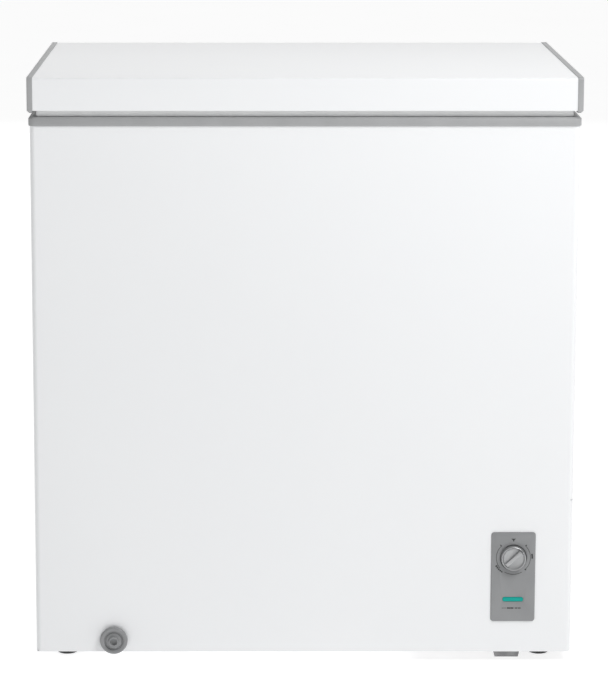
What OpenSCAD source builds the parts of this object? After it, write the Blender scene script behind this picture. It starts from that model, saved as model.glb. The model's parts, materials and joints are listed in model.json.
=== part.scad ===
// Chest freezer with a top lid, an internal compressor bay at the right and a front control panel.
// Millimetres. +Z up, -Y is the front, origin on the floor below the middle of the whole freezer.

/* [Cabinet] */
// Width of the painted cabinet
cabinet_w = 774; // [760:2:790]
// Depth of the painted cabinet
cabinet_d = 530; // [520:2:560]
// Height of the whole freezer
total_h = 850; // [840:2:870]
// Height of the feet
foot_h = 15; // [12:1:20]
// Thickness of the insulated walls
wall = 52; // [50:1:56]
// Height of the tub's floor above the ground
tub_floor = 70; // [68:1:80]
// Bend radius of the cabinet's front corners
bend_r = 8; // [5:1:12]

/* [Compressor bay] */
// Width of the bay at the right end
bay_w = 229; // [225:1:240]
// Height of the bay's ceiling
bay_top = 240; // [236:1:260]

/* [Lid] */
// Height of the lid's skirt
lid_h = 47; // [44:1:50]
// How far the lid stands in front of the cabinet
lid_front_over = 6; // [4:1:8]
// How far the lid stands behind the cabinet
lid_back_over = 4; // [3:1:5]
// Greatest opening angle of the lid
lid_open = 80; // [70:5:85]

/* [Rim and gasket] */
// How far the rim stands proud of the cabinet
rim_proud = 2; // [1.5:0.5:3]
// Height of the rim's outer face
rim_h = 12.5; // [11:0.5:14]
// Height of the gasket between rim and lid
gasket_h = 9.5; // [8:0.5:10]

/* [Control panel] */
// Width of the control panel
panel_w = 64; // [60:1:70]
// Height of the control panel
panel_h = 133; // [126:1:140]
// Diameter of the thermostat knob
knob_d = 36; // [32:1:40]

/* [Basket] */
// Length of the basket along the freezer
basket_l = 212; // [200:2:214]
// Height of the basket
basket_h = 215; // [180:5:230]

/* [Hidden] */
$fn = 64;

// Sheet and wall thicknesses
steel = 1;
plastic = 1.5;
gap = 0.3;

// The knob and the drain cap stand this far in front of the cabinet, and the hinges behind it
front_proud = 14;
hinge_depth = 34;
total_d = front_proud + cabinet_d + hinge_depth;

// Cabinet faces
side = cabinet_w / 2;
front = -total_d / 2 + front_proud;
back = front + cabinet_d;
base = foot_h;

// Heights, from the top down
lid_top = total_h;
lid_bottom = lid_top - lid_h;
rim_top = lid_bottom - gasket_h;
rim_bottom = rim_top - rim_h;
rim_plate = 3.5;
wrap_top = rim_top - rim_plate;

// Inside faces of the tub, and of the step that covers the compressor bay
tub_x = side - wall;
tub_front = front + wall;
tub_back = back - wall;
bay_left = side - steel - bay_w;
step_x = bay_left - wall;
step_top = bay_top + 50;

// Rim
rim_lip = 1.5;
mouth_x = tub_x - rim_lip;
mouth_front = tub_front + rim_lip;
mouth_back = tub_back - rim_lip;

// Lid: the pan lies just inside the end caps' outer faces
cap_proud = 0.8;
lid_side = side + 3;
lid_front = front - lid_front_over;
lid_back = back + lid_back_over;
lid_edge_r = 3;
lid_bulge = 6;
pan_front = lid_front + cap_proud;
pan_back = lid_back - cap_proud;
pan_top = lid_top - cap_proud;

// Gasket ring
gasket_inset = 12;
gasket_w = 16;

// Control panel: its middle and its knob
panel_x = 302;
panel_z = 127;
knob_z = 156;
lens_z = 94;
bezel_t = 2.5;
shaft_r = 3;
cutout_w = 58;
cutout_h = 126;

// Drain on the front, and the hole in the tub's floor
drain_x = -274.5;
drain_z = 33;
drain_y = tub_front + 45;
drain_r = 8;
outlet_r = 12;

// Feet
foot_x = side - 42;
foot_front = front + 50;
foot_back = back - 45;

// Compressor
comp_x = side - 115;
comp_y = 65;
comp_r = 75;
comp_z = 40;
comp_h = 165;

// Hinges: the pin's axis, the cam's spiral and the spring below it
hinge_x = 250;
pin_y = back + 18.5;
pin_z = rim_top + 3.5;
pin_r = 3;
roller_r = 4;
cam_reach = 19;
cam_rate = 5;
cam_small_r = 8;
spring_bottom = pin_z - 154;
spring_top = pin_z - 57;
channel_x = 22;

// Evaporator and condenser tubes
evap_r = 4;
cond_r = 2.4;
line_r = 3;
capillary_r = 1;
evap_bottom = step_top + 50;
evap_turns = 6;
evap_pitch = 58;
pipe_x = tub_x - 10;
evap_off = plastic + evap_r + 1.8;
evap_x = tub_x + evap_off;
evap_front = tub_front - evap_off;
evap_back = tub_back + evap_off;
evap_bend = 9;
evap_room = evap_off + evap_r + 1;
pipe_hole_r = 7;
cond_rows = 10;
cond_pitch = 68;
cond_low = 90;
cond_front = front + 35;
cond_back = back - 60;
condenser_z = base + 8;
condenser_ports = [back - 28, back - 36];
port_r = cond_r + 0.8;

// Thermostat's sensor, filter drier and tray screws
sensor_x = bay_left + 50;
sensor_y = -140;
drier_x = side - 22;
drier_y = back - 60;
drier_low = 70;
tray_screw_x = [205, 250];

// Vent in the right side, and the power cord's way out of the back
vent_front = 20;
vent_back = 180;
vent_low = 70;
vent_high = 200;
cord_x = bay_left + 38;
cord_z = base + 22;

// Basket
basket_t = 4;
basket_x = tub_x - 10 - basket_l;
basket_front = mouth_front + 9;
basket_back = mouth_back - 9;
basket_top = rim_bottom - 6;
hook_r = 2.6;
post_r = 3;
hook_z = rim_top + gap + hook_r;

// ---------- helpers ----------

// A box from its lowest corner to its highest
module block(lo, hi) {
    translate(lo) cube(hi - lo);
}

// A rectangle from corner to corner with round corners
module round_rect(lo, hi, r) {
    translate([lo.x + r, lo.y]) square([hi.x - lo.x - 2 * r, hi.y - lo.y]);
    translate([lo.x, lo.y + r]) square([hi.x - lo.x, hi.y - lo.y - 2 * r]);
    for (x = [lo.x + r, hi.x - r], y = [lo.y + r, hi.y - r])
        translate([x, y]) circle(r);
}

// The cabinet's plan, with its two front corners bent to a radius
module cabinet_plan(grow, r) {
    x = side + grow;
    y = front - grow;
    translate([-x, y + r]) square([2 * x, back + grow - y - r]);
    translate([-x + r, y]) square([2 * (x - r), r + 1]);
    for (s = [-1, 1]) translate([s * (x - r), y + r]) circle(r);
}

// A cylinder along X, Y or Z from a start point
module rod_x(at, r, l) { translate(at) rotate([0, 90, 0]) cylinder(r = r, h = l); }
module rod_y(at, r, l) { translate(at) rotate([-90, 0, 0]) cylinder(r = r, h = l); }
module rod_z(at, r, l) { translate(at) cylinder(r = r, h = l); }

// An outline in the YZ plane, extruded along X
module extrude_x(x, l) {
    translate([x, 0, 0]) rotate([90, 0, 90]) linear_extrude(l) children();
}

// An outline in the XZ plane, extruded towards the back
module extrude_y(y, l) {
    translate([0, y + l, 0]) rotate([90, 0, 0]) linear_extrude(l) children();
}

// A pan-head screw along Y: the head's face lies at the start, on the side that dir points away from
module screw_y(at, head_r, head_t, shank_r, l, dir = 1) {
    translate(at) rotate([-90 * dir, 0, 0]) {
        cylinder(r = shank_r, h = l);
        translate([0, 0, -head_t]) cylinder(r = head_r, h = head_t);
    }
}

function unit(v) = v / norm(v);

// The arc that rounds corner b between a and c
function corner_arc(a, b, c, r, n) =
    let (
        u = unit(a - b),
        w = unit(c - b),
        half = acos(u * w) / 2,
        reach = r / tan(half),
        mid = b + unit(u + w) * r / sin(half),
        ex = unit(b + u * reach - mid),
        to_end = b + w * reach - mid,
        ey = unit(to_end - ex * (ex * to_end)),
        turn = 180 - 2 * half
    )
    [for (i = [0:n]) mid + r * (cos(turn * i / n) * ex + sin(turn * i / n) * ey)];

// A polyline with every corner rounded
function rounded(p, r, n = 3) = concat(
    [p[0]],
    [for (i = [1:len(p) - 2]) each corner_arc(p[i - 1], p[i], p[i + 1], r, n)],
    [p[len(p) - 1]]);

function tangent(p, i) =
    i == 0 ? unit(p[1] - p[0]) :
    i == len(p) - 1 ? unit(p[i] - p[i - 1]) :
    unit(unit(p[i + 1] - p[i]) + unit(p[i] - p[i - 1]));

function across(t) = unit(cross(t, abs(t.z) < 0.8 ? [0, 0, 1] : [1, 0, 0]));

// One direction square to the path at each point, carried along without twisting
function carried(p, i, s) =
    i == len(p) ? [] :
    let (t = tangent(p, i), q = unit(s - (s * t) * t)) concat([q], carried(p, i + 1, q));

// A round tube along a path
module tube(p, r, sides = 8) {
    n = len(p);
    dirs = carried(p, 0, across(tangent(p, 0)));
    points = [for (i = [0:n - 1], j = [0:sides - 1])
        let (t = tangent(p, i), u = dirs[i], v = cross(t, u), a = 360 * j / sides)
        p[i] + r * (cos(a) * u + sin(a) * v)];
    walls = [for (i = [0:n - 2], j = [0:sides - 1])
        let (k = (j + 1) % sides)
        [i * sides + j, (i + 1) * sides + j, (i + 1) * sides + k, i * sides + k]];
    ends = [
        [for (j = [0:sides - 1]) j],
        [for (j = [0:sides - 1]) n * sides - 1 - j]];
    polyhedron(points, concat(walls, ends));
}

// ---------- cabinet shell ----------

module outer_wrap() {
    color("white") difference() {
        translate([0, 0, base]) linear_extrude(wrap_top - base) difference() {
            cabinet_plan(0, bend_r);
            cabinet_plan(-steel, bend_r - steel);
            translate([-side + steel, back - 2 * steel]) square([cabinet_w - 2 * steel, 4 * steel]);
        }
        block([panel_x - cutout_w / 2, front - 1, panel_z - cutout_h / 2],
            [panel_x + cutout_w / 2, front + 2, panel_z + cutout_h / 2]);
        rod_y([drain_x, front - 1, drain_z], outlet_r, 3);
        block([side - 2, vent_front, vent_low], [side + 1, vent_back, vent_high]);
    }
}

module back_panel() {
    color("gainsboro") difference() {
        block([-side + steel, back - steel, base], [side - steel, back, wrap_top]);
        block([bay_left + 14, back - 2, base + 3], [side - 15, back + 1, bay_top - 12]);
        for (s = [-1, 1]) hinge_screw_holes(s * hinge_x);
        grille_screw_holes();
    }
}

module bottom_panel() {
    color("silver") difference() {
        block([-side + steel, front + steel, base], [bay_left - plastic, back - steel, base + steel]);
        for (y = [foot_front, foot_back]) rod_z([-foot_x, y, base - 1], 4, 4);
    }
}

module bay_divider() {
    color("silver") difference() {
        union() {
            block([bay_left - plastic, front + steel, base], [bay_left, back - steel, bay_top + plastic]);
            block([bay_left, front + steel, bay_top], [side - steel, back - steel, bay_top + plastic]);
        }
        for (y = condenser_ports) rod_x([bay_left - 3, y, condenser_z], port_r, 6);
        rod_z([pipe_x, evap_back, bay_top - 1], pipe_hole_r, 4);
        rod_z([sensor_x, sensor_y, bay_top - 1], 4.2, 4);
    }
}

// Outline of the tub's inside, grown by a thickness, as a solid that reaches up through the mouth
module tub_space(grow) {
    block([-tub_x - grow, tub_front - grow, tub_floor - grow],
        [step_x + grow, tub_back + grow, wrap_top + 1]);
    block([-tub_x - grow, tub_front - grow, step_top - grow], [tub_x + grow, tub_back + grow, wrap_top + 1]);
}

module inner_liner() {
    color("whitesmoke") difference() {
        intersection() {
            tub_space(plastic);
            block([-side, front, 0], [side, back, wrap_top]);
        }
        tub_space(0);
        rod_z([drain_x, drain_y, tub_floor - 3], drain_r, 6);
    }
}

module cabinet_foam() {
    color("khaki") difference() {
        translate([0, 0, base + steel]) linear_extrude(wrap_top - base - steel)
            cabinet_plan(-steel, bend_r - steel);
        tub_space(plastic);
        block([bay_left - plastic, front, 0], [side, back, bay_top + plastic]);
        // recess for the condenser tubes on the left wall, and their way to the bay
        block([-side, cond_front - 12, cond_low - 40],
            [-side + steel + 2 * cond_r + 0.4, cond_back + 40, cond_low + cond_rows * cond_pitch - 50]);
        for (y = condenser_ports) {
            block([-side, y - 5, base], [bay_left, y + 5, condenser_z + 5]);
            block([-side, y - 5, base], [-side + 12, y + 5, cond_low]);
        }
        // recess around the liner for the evaporator, and the hole for its pipe
        difference() {
            block([-tub_x - evap_room, tub_front - evap_room, evap_bottom - 12],
                [tub_x + evap_room, tub_back + evap_room, evap_bottom + evap_turns * evap_pitch + 12]);
            block([-tub_x, tub_front, 0], [tub_x, tub_back, total_h]);
        }
        rod_z([pipe_x, evap_back, bay_top], pipe_hole_r, evap_bottom - bay_top);
        rod_z([sensor_x, sensor_y, bay_top], 4.2, 46);
        // way for the drain
        rod_z([drain_x, drain_y, drain_z], drain_r + 2, tub_floor - drain_z);
        rod_y([drain_x, front, drain_z], drain_r + 2, drain_y - front + drain_r + 2);
        rod_y([drain_x, front, drain_z], outlet_r, 31);
        for (s = [-1, 1]) hinge_screw_holes(s * hinge_x);
        for (y = [foot_front, foot_back]) rod_z([-foot_x, y, base], 4, 14);
    }
}

module top_rim() {
    color("darkgray") difference() {
        translate([0, 0, rim_bottom]) linear_extrude(rim_h)
            cabinet_plan(rim_proud, bend_r + rim_proud);
        translate([0, 0, rim_bottom - 1]) linear_extrude(wrap_top - rim_bottom + 1) cabinet_plan(0, bend_r);
        block([-mouth_x, mouth_front, 0], [mouth_x, mouth_back, total_h]);
    }
    color("darkgray") difference() {
        block([-tub_x, tub_front, rim_bottom - 12], [tub_x, tub_back, wrap_top]);
        block([-mouth_x, mouth_front, 0], [mouth_x, mouth_back, total_h]);
    }
}

module feet() {
    color("dimgray") for (x = [-foot_x, foot_x], y = [foot_front, foot_back])
        translate([x, y, 0]) difference() {
        union() {
            cylinder(r = 15, h = foot_h - 5);
            translate([0, 0, foot_h - 5]) cylinder(r1 = 15, r2 = 12, h = 5);
        }
        translate([0, 0, 3]) cylinder(r = 4, h = foot_h);
    }
}

module foot_screws() {
    color("silver") for (x = [-foot_x, foot_x], y = [foot_front, foot_back])
        rod_z([x, y, 3], 4, foot_h + 9);
}

// ---------- refrigeration ----------

module evaporator_coil() {
    turns = [for (i = [0:evap_turns - 1], c = [0:3])
        [c < 2 ? -evap_x : evap_x, c == 0 || c == 3 ? evap_back : evap_front,
            evap_bottom + (i + c / 4) * evap_pitch]];
    path = concat([[pipe_x, evap_back, bay_top - 40], [pipe_x, evap_back, evap_bottom]], turns,
        [[0, evap_back, evap_bottom + evap_turns * evap_pitch]]);
    color("peru") tube(rounded(path, evap_bend), evap_r, 6);
}

module condenser_coil() {
    x = -side + steel + cond_r + 0.2;
    rows = [for (i = [0:cond_rows - 1], e = [0, 1])
        [x, (i + e) % 2 == 0 ? cond_back : cond_front, cond_low + i * cond_pitch]];
    path = concat(
        [[bay_left + 45, condenser_ports[1], condenser_z], [x, condenser_ports[1], condenser_z],
            [x, condenser_ports[1], cond_low]],
        [for (i = [1:len(rows) - 2]) rows[i]],
        [[x, condenser_ports[0], cond_low + (cond_rows - 1) * cond_pitch],
            [x, condenser_ports[0], condenser_z], [drier_x, condenser_ports[0], condenser_z],
            [drier_x, drier_y, condenser_z], [drier_x, drier_y, drier_low]]);
    color("peru") tube(rounded(path, 7), cond_r, 6);
}

module compressor_shell() {
    color("black") intersection() {
        rod_z([comp_x, comp_y, comp_z], comp_r, comp_h);
        compressor_domes();
    }
}

// The shell's domed top and bottom
module compressor_domes() {
    dome_r = 115;
    translate([comp_x, comp_y, comp_z]) intersection() {
        translate([0, 0, comp_h - dome_r]) sphere(dome_r);
        translate([0, 0, dome_r]) sphere(dome_r);
    }
}

module compressor_bracket() {
    color("dimgray") difference() {
        translate([comp_x, comp_y, 0]) {
            block([-95, -60, comp_z - 3], [95, 60, comp_z]);
            rod_z([0, 0, comp_z], 58, 14);
        }
        for (x = [-84, 84], y = [-48, 48]) rod_z([comp_x + x, comp_y + y, 0], 7, 60);
        compressor_domes();
    }
}

module compressor_grommets() {
    color("black") for (x = [-84, 84], y = [-48, 48]) translate([comp_x + x, comp_y + y, 0]) difference() {
        union() {
            rod_z([0, 0, base + 2], 10, comp_z - 3 - base - 2);
            rod_z([0, 0, comp_z - 3], 7, 3);
            rod_z([0, 0, comp_z], 10, 4);
        }
        rod_z([0, 0, 0], 3, 60);
    }
}

module compressor_bolts() {
    color("silver") for (x = [-84, 84], y = [-48, 48]) translate([comp_x + x, comp_y + y, 0]) {
        rod_z([0, 0, base - 2], 3, comp_z + 6 - base);
        translate([0, 0, comp_z + 4]) cylinder(r = 5.8, h = 5, $fn = 6);
    }
}

module compressor_tray() {
    rail_x = panel_x - 6.5;
    rail_l = cabinet_d - 60;
    color("darkgray") difference() {
        union() {
            block([bay_left, front + 17, base], [side - steel, back - steel, base + 2]);
            difference() {
                extrude_y(front + 17, rail_l)
                    polygon([[rail_x - 20, base], [rail_x + 20, base], [rail_x + 17, 2], [rail_x - 17, 2]]);
                extrude_y(front + 19, rail_l)
                    polygon([[rail_x - 18, base], [rail_x + 18, base], [rail_x + 15, 4], [rail_x - 15, 4]]);
            }
        }
        for (x = [-84, 84], y = [-48, 48]) rod_z([comp_x + x, comp_y + y, 0], 3, 60);
        for (y = [foot_front, foot_back]) rod_z([foot_x, y, base - 1], 4, 4);
        for (x = tray_screw_x, y = [front + 24, back - 20]) rod_z([x, y, base - 1], 2.5, 4);
    }
}

module tray_screws() {
    color("silver") for (x = tray_screw_x, y = [front + 24, back - 20]) {
        rod_z([x, y, base], 2.5, 12);
        intersection() {
            rod_z([x, y, base - 4], 6, 4);
            translate([x, y, base + 2]) sphere(7.2);
        }
    }
}

module relay_cover() {
    color("darkslategray") difference() {
        block([comp_x - 32, comp_y - comp_r - 30, 85], [comp_x + 32, comp_y - comp_r + 14, 150]);
        rod_z([comp_x, comp_y, 80], comp_r + gap, 80);
        block([comp_x - 30, comp_y - comp_r - 28, 87], [comp_x + 30, comp_y - comp_r + 15, 148]);
    }
}

module filter_drier() {
    color("peru") translate([drier_x, drier_y, drier_low]) {
        cylinder(r1 = 4, r2 = 10, h = 12);
        translate([0, 0, 12]) cylinder(r = 10, h = 76);
        translate([0, 0, 88]) cylinder(r1 = 10, r2 = 3, h = 14);
    }
}

module suction_line() {
    start = [comp_x + 36, comp_y + 63, comp_z + 100];
    color("peru") tube(rounded([start, start + [12, 30, 0], [pipe_x, evap_back - 40, 165],
        [pipe_x, evap_back, 165],
        [pipe_x, evap_back, bay_top - 40]], 9), line_r, 8);
}

module discharge_line() {
    start = [comp_x - 36, comp_y + 63, comp_z + 60];
    color("peru") tube(rounded([start, start + [-8, 50, 0], [bay_left + 45, condenser_ports[1] - 30, 100],
        [bay_left + 45, condenser_ports[1] - 14, condenser_z],
        [bay_left + 45, condenser_ports[1], condenser_z]], 7),
        line_r - 0.5, 8);
}

module capillary_tube() {
    color("peru") tube(rounded([[drier_x, drier_y, 172], [drier_x, drier_y, 192],
        [pipe_x + 20, evap_back - 14, 200], [pipe_x + 4.4, evap_back + 3.4, 206],
        [pipe_x + 4.4, evap_back + 3.4, bay_top + 4]], 5), capillary_r, 6);
}

// ---------- bay covers ----------

module grille_screw_holes() {
    for (x = [bay_left + 7, side - 8], z = [base + 20, bay_top - 20])
        rod_y([x, back - 12, z], 2, 14);
}

module rear_grille() {
    color("dimgray") difference() {
        block([bay_left, back, base + 4], [side - 2, back + 2, bay_top]);
        for (row = [0:9], slot = [0:4]) {
            x = bay_left + 24 + slot * 38;
            z = base + 44 + row * 16;
            block([x, back - 1, z], [x + 28, back + 3, z + 7]);
        }
        grille_screw_holes();
        rod_y([cord_x, back - 1, cord_z], 6, 4);
    }
}

module rear_grille_screws() {
    color("silver") for (x = [bay_left + 7, side - 8], z = [base + 20, bay_top - 20])
        screw_y([x, back + 2, z], 4, 2.2, 2, 12, -1);
}

module cord_grommet() {
    color("black") translate([cord_x, back, cord_z]) rotate([-90, 0, 0]) difference() {
        union() {
            translate([0, 0, -2]) cylinder(r = 8, h = 2);
            cylinder(r = 6, h = 2);
            translate([0, 0, 2]) cylinder(r = 8, h = 3);
        }
        translate([0, 0, -3]) cylinder(r = 3.6, h = 9);
    }
}

module side_vent() {
    color("gainsboro") difference() {
        union() {
            block([side, vent_front - 8, vent_low - 8], [side + 2, vent_back + 8, vent_high + 8]);
            block([side - 4, vent_front + 0.2, vent_low + 0.2], [side, vent_back - 0.2, vent_high - 0.2]);
        }
        block([side - 5, vent_front + 3, vent_low + 3], [side - steel, vent_back - 3, vent_high - 3]);
        for (z = [vent_low + 8:13:vent_high - 14])
            block([side - 5, vent_front + 10, z], [side + 3, vent_back - 10, z + 6]);
    }
}

// ---------- control panel ----------

// A block a little smaller all round than the panel's cut-out
module panel_block(less, y0, y1) {
    block([panel_x - cutout_w / 2 + less, y0, panel_z - cutout_h / 2 + less],
        [panel_x + cutout_w / 2 - less, y1, panel_z + cutout_h / 2 - less]);
}

module control_bezel() {
    color("gray") difference() {
        union() {
            extrude_y(front - bezel_t, bezel_t)
                round_rect([panel_x - panel_w / 2, panel_z - panel_h / 2],
                    [panel_x + panel_w / 2, panel_z + panel_h / 2], 4.5);
            panel_block(0.2, front, front + 4);
        }
        panel_block(2.2, front, front + 5);
        rod_y([panel_x, front - 4, knob_z], shaft_r + 0.4, 6);
        block([panel_x - 15, front - 4, lens_z - 3.2], [panel_x + 15, front + 1, lens_z + 3.2]);
    }
}

module control_box() {
    color("ivory") difference() {
        panel_block(0.2, front + 4, front + 46);
        panel_block(2.2, front + 3, front + 44);
        rod_y([panel_x, front + 40, knob_z - 10], 6, 10);
    }
}

module thermostat_body() {
    color("silver") difference() {
        block([panel_x - 20, front + 6, knob_z - 18], [panel_x + 20, front + 36, knob_z + 18]);
        rod_y([panel_x, front + 5, knob_z], shaft_r + 0.06, 20);
    }
}

module thermostat_shaft() {
    color("silver") rod_y([panel_x, front - 10, knob_z], shaft_r, 33);
}

module thermostat_sensor() {
    color("peru") union() {
        tube(rounded([[panel_x, front + 36, knob_z - 10], [panel_x, front + 60, knob_z - 10],
            [sensor_x, sensor_y - 30, 200], [sensor_x, sensor_y, 215],
            [sensor_x, sensor_y, bay_top - 10]], 10), 1.2, 6);
        rod_z([sensor_x, sensor_y, bay_top - 10], 3.6, 54);
    }
}

module indicator_lens() {
    color("teal") block([panel_x - 14.9, front - bezel_t - 0.6, lens_z - 3.1],
        [panel_x + 14.9, front + 1, lens_z + 3.1]);
}

module indicator_lamp() {
    color("orange") rod_y([panel_x, front + 6, lens_z], 4, 18);
}

module wiring_harness() {
    color("black") {
        tube(rounded([[panel_x - 10, front + 46, lens_z], [panel_x - 10, front + 76, lens_z],
            [comp_x - 10, comp_y - comp_r - 70, 110],
            [comp_x - 10, comp_y - comp_r - 30, 110]], 14), 3.5, 8);
        tube(rounded([[comp_x - 32, comp_y - comp_r - 10, 100], [bay_left + 16, comp_y - comp_r - 10, 100],
            [bay_left + 16, comp_y - comp_r - 10, 60], [bay_left + 16, back - 80, 60],
            [cord_x, back - 40, cord_z], [cord_x, back + 3, cord_z]], 9), 3.5, 8);
    }
}

module thermostat_knob() {
    grip = 4;
    color("darkgray") translate([panel_x, front - bezel_t - 0.4, knob_z]) rotate([90, 0, 0]) difference() {
        union() {
            cylinder(r = knob_d / 2, h = 6.6);
            intersection() {
                cylinder(r = knob_d / 2 - 1, h = front_proud - bezel_t - 0.4);
                rotate(45) block([-knob_d, -grip, 0], [knob_d, grip, 20]);
            }
        }
        translate([0, 0, -1]) cylinder(r = shaft_r, h = 8.1);
    }
}

// ---------- drain ----------

module drain_outlet() {
    color("gray") difference() {
        union() {
            rod_y([drain_x, front - 1.4, drain_z], 17, 1.4);
            rod_y([drain_x, front, drain_z], outlet_r, 30);
        }
        rod_y([drain_x, front - 3, drain_z], drain_r + 2, 40);
    }
}

module drain_tube() {
    color("whitesmoke") difference() {
        union() {
            rod_z([drain_x, drain_y, drain_z], drain_r + 2, tub_floor - plastic - drain_z);
            rod_y([drain_x, front + 8, drain_z], drain_r + 2, drain_y - front - 8 + drain_r + 2);
        }
        rod_z([drain_x, drain_y, drain_z], drain_r, 60);
        rod_y([drain_x, front, drain_z], drain_r, drain_y - front + drain_r);
    }
}

module drain_cap() {
    color("gray") translate([drain_x, front - 1.4 - gap, drain_z]) rotate([90, 0, 0]) {
        difference() {
            cylinder(r = 19.9, h = 6.6);
            translate([0, 0, -1]) cylinder(r = 17, h = 3);
        }
        translate([0, 0, 6.6]) cylinder(r = 13, h = 3);
        translate([0, 0, 9.6]) cylinder(r = 6.5, h = 2.5);
        translate([0, 0, -24]) cylinder(r = drain_r - gap, h = 26.5);
    }
}

module drain_plug() {
    color("white") translate([drain_x, drain_y, tub_floor]) {
        translate([0, 0, gap]) cylinder(r = drain_r + 5, h = 4);
        translate([0, 0, -14]) cylinder(r = drain_r - gap, h = 15);
        block([-1.5, -7, 4], [1.5, 7, 14]);
    }
}

// ---------- lid ----------

// The lid's section across its depth, with round top edges
module lid_section(lo, hi, r) {
    translate(lo) square([hi.x - lo.x, hi.y - lo.y - r]);
    translate([lo.x + r, lo.y]) square([hi.x - lo.x - 2 * r, hi.y - lo.y]);
    for (y = [lo.x + r, hi.x - r]) translate([y, hi.y - r]) circle(r);
}

module lid_pan() {
    color("white") difference() {
        extrude_x(-lid_side + plastic, 2 * (lid_side - plastic)) difference() {
            lid_section([pan_front, lid_bottom], [pan_back, pan_top], lid_edge_r);
            lid_section([pan_front + steel, lid_bottom - 5], [pan_back - steel, pan_top - steel],
                lid_edge_r - steel);
        }
        for (s = [-1, 1]) leaf_screw_holes(s * hinge_x);
    }
}

module lid_end_cap(s) {
    color("lightgray") mirror([s < 0 ? 1 : 0, 0, 0]) {
        extrude_x(lid_side - plastic, plastic) difference() {
            lid_section([lid_front, lid_bottom - 3], [lid_back, lid_top], lid_edge_r + 0.8);
            polygon([[lid_front - 1, lid_bottom - 4], [lid_front + 9, lid_bottom - 4],
                [lid_front - 1, lid_bottom + 6]]);
        }
        extrude_x(lid_side - 8, 8 - plastic) difference() {
            lid_section([lid_front, lid_bottom], [lid_back, lid_top], lid_edge_r + 0.8);
            lid_section([pan_front, lid_bottom - 9], [pan_back, pan_top], lid_edge_r);
        }
        block([lid_side - 10, pan_front + lid_edge_r, pan_top], [lid_side - 8, pan_back - lid_edge_r, lid_top]);
    }
}
module lid_end_cap_left() { lid_end_cap(-1); }
module lid_end_cap_right() { lid_end_cap(1); }

module lid_foam() {
    color("khaki") difference() {
        union() {
            extrude_x(-lid_side + 2 * plastic, 2 * (lid_side - 2 * plastic))
                lid_section([pan_front + steel, lid_bottom + plastic], [pan_back - steel, pan_top - steel],
                    lid_edge_r - steel);
            bulge(-plastic);
        }
        for (s = [-1, 1]) leaf_screw_holes(s * hinge_x);
    }
}

// The raised middle of the lid's underside, which plugs the tub's mouth
module bulge(grow) {
    block([-mouth_x + 25 - grow, mouth_front + 28 - grow, lid_bottom - lid_bulge - grow],
        [mouth_x - 25 + grow, mouth_back - 28 + grow, lid_bottom + plastic]);
}

module lid_liner() {
    color("white") difference() {
        union() {
            block([-lid_side + 2 * plastic, pan_front + steel, lid_bottom],
                [lid_side - 2 * plastic, pan_back - steel, lid_bottom + plastic]);
            bulge(0);
        }
        intersection() {
            bulge(-plastic);
            block([-side, front, 0], [side, back, lid_bottom + 3]);
        }
    }
}

module gasket_ring(inset, w, lo, hi) {
    difference() {
        block([-lid_side + inset, lid_front + inset, lo], [lid_side - inset, lid_back - inset, hi]);
        block([-lid_side + inset + w, lid_front + inset + w, lo - 1],
            [lid_side - inset - w, lid_back - inset - w, hi + 1]);
    }
}

module lid_gasket() {
    color("silver") difference() {
        gasket_ring(gasket_inset, gasket_w, rim_top + 0.2, lid_bottom);
        gasket_ring(gasket_inset + 4, 8, rim_top + 2, lid_bottom + 1);
    }
}

module gasket_magnet() {
    color("dimgray") gasket_ring(gasket_inset + 4, 8, rim_top + 2, rim_top + 6);
}

// ---------- hinges ----------

module hinge_screw_holes(x) {
    for (dx = [-14, 14], z = [spring_bottom + 12, spring_top + 26]) rod_y([x + dx, back - 14, z], 2, 20);
}

module leaf_screw_holes(x) {
    for (dx = [-10, 10], z = [lid_bottom + 13, lid_bottom + 35]) rod_y([x + dx, pan_back - 12, z], 1.8, 20);
}

module hinge_base(x) {
    color("silver") translate([x, 0, 0]) difference() {
        union() {
            block([-channel_x, back, spring_bottom - 3], [channel_x, back + 2.3, rim_bottom - 1]);
            block([-channel_x, back, spring_bottom - 3], [channel_x, pin_y + 13, spring_bottom]);
            for (e = [-channel_x, channel_x - 2]) extrude_x(e, 2) {
                translate([back + 2.3, spring_bottom - 3]) square([pin_y + 10.7 - back, pin_z - spring_bottom + 3]);
                translate([pin_y, pin_z]) circle(13);
            }
        }
        rod_x([-30, pin_y, pin_z], pin_r, 60);
        rod_z([0, pin_y, spring_bottom - 4], 3.1, 5);
        translate([-x, 0, 0]) hinge_screw_holes(x);
    }
}
module hinge_base_left() { hinge_base(-hinge_x); }
module hinge_base_right() { hinge_base(hinge_x); }

module hinge_pins() {
    color("silver") for (x = [-hinge_x, hinge_x]) {
        rod_x([x - channel_x - 1, pin_y, pin_z], pin_r, 2 * channel_x + 2);
        for (e = [-channel_x - 3, channel_x + 1]) rod_x([x + e, pin_y, pin_z], pin_r + 2, 2);
    }
}

module hinge_base_screws() {
    color("silver") for (x = [-hinge_x, hinge_x], dx = [-14, 14], z = [spring_bottom + 12, spring_top + 26])
        screw_y([x + dx, back + 2.3, z], 4, 2.4, 2, 14, -1);
}

module hinge_leaf_screws() {
    color("silver") for (x = [-hinge_x, hinge_x], dx = [-10, 10], z = [lid_bottom + 13, lid_bottom + 35])
        screw_y([x + dx, pan_back + 2.3, z], 3.6, 2.2, 1.8, 12, -1);
}

// A point of the cam: the roller's centre on its spiral, drawn in by the roller's radius
function cam_point(a) =
    let (
        reach = cam_reach - cam_rate * a * PI / 180,
        out = [sin(a), -cos(a)],
        along = [cos(a), sin(a)] * reach - out * cam_rate,
        normal = unit([along.y, -along.x])
    )
    out * reach - normal * (roller_r + gap);

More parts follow.
